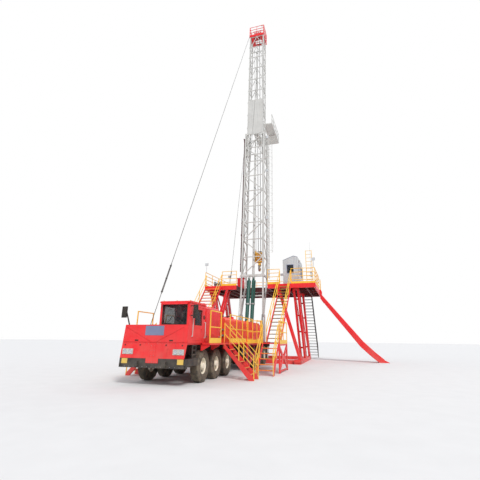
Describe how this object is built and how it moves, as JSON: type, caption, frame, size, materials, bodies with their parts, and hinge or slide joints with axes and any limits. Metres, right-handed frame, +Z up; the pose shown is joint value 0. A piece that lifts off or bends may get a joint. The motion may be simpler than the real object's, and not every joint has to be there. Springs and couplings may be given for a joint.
{
  "type": "self-propelled workover rig",
  "caption": "Truck-mounted workover rig with a raised telescoping lattice mast, rig floor, doghouse, stairs, pipe slide and hook block.",
  "frame": {"origin": "centre of the well at ground level, under the rotary table", "axes": "+Z up the well; the carrier nose points along -Y; +X is the left side of the carrier"},
  "size_m": [14.27, 25.1103, 36.2054],
  "materials": {
    "chassis_paint": "satin",
    "red_paint": "gloss",
    "orange_paint": "gloss",
    "yellow_paint": "satin",
    "white_paint": "satin",
    "green_paint": "gloss",
    "chrome_rod": "polished",
    "machined_steel": "satin",
    "galvanised": "satin",
    "wire_rope": "rough",
    "glass": "tinted",
    "lamp_lens": "clear",
    "seat_vinyl": "matte",
    "black_plastic": "matte",
    "tyre": "matte"
  },
  "bodies": {
    "carrier": {"chassis_frame": "chassis_paint", "axle_beams": "chassis_paint", "front_bumper": "chassis_paint", "nose_panel": "red_paint", "lamps": "lamp_lens", "cab_body": "red_paint", "cab_roof": "red_paint", "cab_glass": "glass", "cab_seat": "seat_vinyl", "steering_wheel": "black_plastic", "mirrors": "black_plastic", "engine_housing": "red_paint", "exhaust_stacks": "chassis_paint", "gearbox_case": "orange_paint", "drawworks_guard": "orange_paint", "deck_plates": "red_paint", "carrier_rails": "yellow_paint", "carrier_stairs": "red_paint", "jack_legs": "white_paint", "mast_base": "white_paint", "side_tanks": "chassis_paint", "floor_frame": "red_paint", "floor_base": "red_paint", "floor_rails": "yellow_paint", "floor_stairs": "red_paint", "rotary_table": "machined_steel", "pipe_slide": "red_paint", "dog_house": "galvanised", "front_stays": "wire_rope"},
    "cab_door": {"cab_door": "red_paint"},
    "dog_house_door": {"dog_house_door": "galvanised"},
    "drum": {"drawworks_drum": "machined_steel"},
    "mast": {"mast_lower": "white_paint", "mast_ladder": "yellow_paint"},
    "mast_top": {"mast_upper": "white_paint", "crown_block": "red_paint"},
    "board": {"tubing_board": "white_paint", "board_rails": "white_paint"},
    "block": {"travelling_block": "yellow_paint"},
    "ram_barrels": {"cylinder_barrels": "green_paint"},
    "ram_stages": {"cylinder_stages": "green_paint"},
    "ram_rods": {"cylinder_rods": "chrome_rod"},
    "knuckle_1l": {"knuckle_1l": "machined_steel"},
    "wheel_1l": {"wheel_1l": "tyre"},
    "knuckle_1r": {"knuckle_1r": "machined_steel"},
    "wheel_1r": {"wheel_1r": "tyre"},
    "knuckle_2l": {"knuckle_2l": "machined_steel"},
    "wheel_2l": {"wheel_2l": "tyre"},
    "knuckle_2r": {"knuckle_2r": "machined_steel"},
    "wheel_2r": {"wheel_2r": "tyre"},
    "knuckle_3l": {"knuckle_3l": "machined_steel"},
    "wheel_3l": {"wheel_3l": "tyre"},
    "knuckle_3r": {"knuckle_3r": "machined_steel"},
    "wheel_3r": {"wheel_3r": "tyre"},
    "wheel_4l": {"wheel_4l": "tyre"},
    "wheel_4r": {"wheel_4r": "tyre"},
    "wheel_5l": {"wheel_5l": "tyre"},
    "wheel_5r": {"wheel_5r": "tyre"},
    "wheel_6l": {"wheel_6l": "tyre"},
    "wheel_6r": {"wheel_6r": "tyre"}
  },
  "joints": [
    {"name": "mast_raise", "type": "hinge", "parent": "carrier", "child": "mast", "pos_m": [0, -2.6, 3.4], "axis": [1, 0, 0], "range_deg": [0, 93.5], "deforming": ["front_stays"]},
    {"name": "mast_telescope", "type": "slide", "parent": "mast", "child": "mast_top", "axis": [0, -0.061, -0.9981], "range_m": [0, 13.5]},
    {"name": "board_fold", "type": "hinge", "parent": "mast_top", "child": "board", "pos_m": [0, 0.04119, 22.99531], "axis": [-1, 0, 0], "range_deg": [0, 88]},
    {"name": "block_hoist", "type": "slide", "parent": "mast", "child": "block", "axis": [0, 0, -1], "range_m": [-22, 0]},
    {"name": "ram_swing", "type": "hinge", "parent": "mast", "child": "ram_barrels", "pos_m": [0, -2.77231, 6.31596], "axis": [-1, 0, 0], "range_deg": [0, 41.77]},
    {"name": "ram_first_stage", "type": "slide", "parent": "ram_barrels", "child": "ram_stages", "axis": [0, 0.1933, 0.9811], "range_m": [0, 1.3696]},
    {"name": "ram_second_stage", "type": "slide", "parent": "ram_stages", "child": "ram_rods", "axis": [0, 0.1933, 0.9811], "range_m": [0, 1.3696]},
    {"name": "drum_spin", "type": "hinge", "parent": "carrier", "child": "drum", "pos_m": [0, -6.9, 2.12], "axis": [1, 0, 0], "continuous": true},
    {"name": "cab_door_hinge", "type": "hinge", "parent": "carrier", "child": "cab_door", "pos_m": [1.4143, -16.526, 2.2], "axis": [0, 0, -1], "range_deg": [0, 75]},
    {"name": "dog_house_door_hinge", "type": "hinge", "parent": "carrier", "child": "dog_house_door", "pos_m": [3.6643, -1.346, 6.9], "axis": [0, 0, -1], "range_deg": [0, 90]},
    {"name": "steer_1l", "type": "hinge", "parent": "carrier", "child": "knuckle_1l", "pos_m": [0.95, -15.2, 0.625], "axis": [0, 0, 1], "range_deg": [-28, 28]},
    {"name": "spin_1l", "type": "hinge", "parent": "knuckle_1l", "child": "wheel_1l", "pos_m": [1.18, -15.2, 0.625], "axis": [1, 0, 0], "continuous": true},
    {"name": "steer_1r", "type": "hinge", "parent": "carrier", "child": "knuckle_1r", "pos_m": [-0.95, -15.2, 0.625], "axis": [0, 0, 1], "range_deg": [-28, 28]},
    {"name": "spin_1r", "type": "hinge", "parent": "knuckle_1r", "child": "wheel_1r", "pos_m": [-1.18, -15.2, 0.625], "axis": [1, 0, 0], "continuous": true},
    {"name": "steer_2l", "type": "hinge", "parent": "carrier", "child": "knuckle_2l", "pos_m": [0.95, -13.7, 0.625], "axis": [0, 0, 1], "range_deg": [-22.4, 22.4]},
    {"name": "spin_2l", "type": "hinge", "parent": "knuckle_2l", "child": "wheel_2l", "pos_m": [1.18, -13.7, 0.625], "axis": [1, 0, 0], "continuous": true},
    {"name": "steer_2r", "type": "hinge", "parent": "carrier", "child": "knuckle_2r", "pos_m": [-0.95, -13.7, 0.625], "axis": [0, 0, 1], "range_deg": [-22.4, 22.4]},
    {"name": "spin_2r", "type": "hinge", "parent": "knuckle_2r", "child": "wheel_2r", "pos_m": [-1.18, -13.7, 0.625], "axis": [1, 0, 0], "continuous": true},
    {"name": "steer_3l", "type": "hinge", "parent": "carrier", "child": "knuckle_3l", "pos_m": [0.95, -12.2, 0.625], "axis": [0, 0, 1], "range_deg": [-16.8, 16.8]},
    {"name": "spin_3l", "type": "hinge", "parent": "knuckle_3l", "child": "wheel_3l", "pos_m": [1.18, -12.2, 0.625], "axis": [1, 0, 0], "continuous": true},
    {"name": "steer_3r", "type": "hinge", "parent": "carrier", "child": "knuckle_3r", "pos_m": [-0.95, -12.2, 0.625], "axis": [0, 0, 1], "range_deg": [-16.8, 16.8]},
    {"name": "spin_3r", "type": "hinge", "parent": "knuckle_3r", "child": "wheel_3r", "pos_m": [-1.18, -12.2, 0.625], "axis": [1, 0, 0], "continuous": true},
    {"name": "spin_4l", "type": "hinge", "parent": "carrier", "child": "wheel_4l", "pos_m": [1.04, -7, 0.625], "axis": [1, 0, 0], "continuous": true},
    {"name": "spin_4r", "type": "hinge", "parent": "carrier", "child": "wheel_4r", "pos_m": [-1.04, -7, 0.625], "axis": [1, 0, 0], "continuous": true},
    {"name": "spin_5l", "type": "hinge", "parent": "carrier", "child": "wheel_5l", "pos_m": [1.04, -5.6, 0.625], "axis": [1, 0, 0], "continuous": true},
    {"name": "spin_5r", "type": "hinge", "parent": "carrier", "child": "wheel_5r", "pos_m": [-1.04, -5.6, 0.625], "axis": [1, 0, 0], "continuous": true},
    {"name": "spin_6l", "type": "hinge", "parent": "carrier", "child": "wheel_6l", "pos_m": [1.04, -4.2, 0.625], "axis": [1, 0, 0], "continuous": true},
    {"name": "spin_6r", "type": "hinge", "parent": "carrier", "child": "wheel_6r", "pos_m": [-1.04, -4.2, 0.625], "axis": [1, 0, 0], "continuous": true}
  ],
  "couplings": [
    {"joint": "ram_swing", "follows": "mast_raise", "ratio": 0.44141},
    {"joint": "ram_first_stage", "follows": "mast_raise", "m_per_rad": 0.83623},
    {"joint": "ram_second_stage", "follows": "mast_raise", "m_per_rad": 0.83623},
    {"joint": "steer_1r", "follows": "steer_1l", "ratio": 1},
    {"joint": "steer_2l", "follows": "steer_1l", "ratio": 0.8},
    {"joint": "steer_2r", "follows": "steer_1l", "ratio": 0.8},
    {"joint": "steer_3l", "follows": "steer_1l", "ratio": 0.6},
    {"joint": "steer_3r", "follows": "steer_1l", "ratio": 0.6}
  ]
}
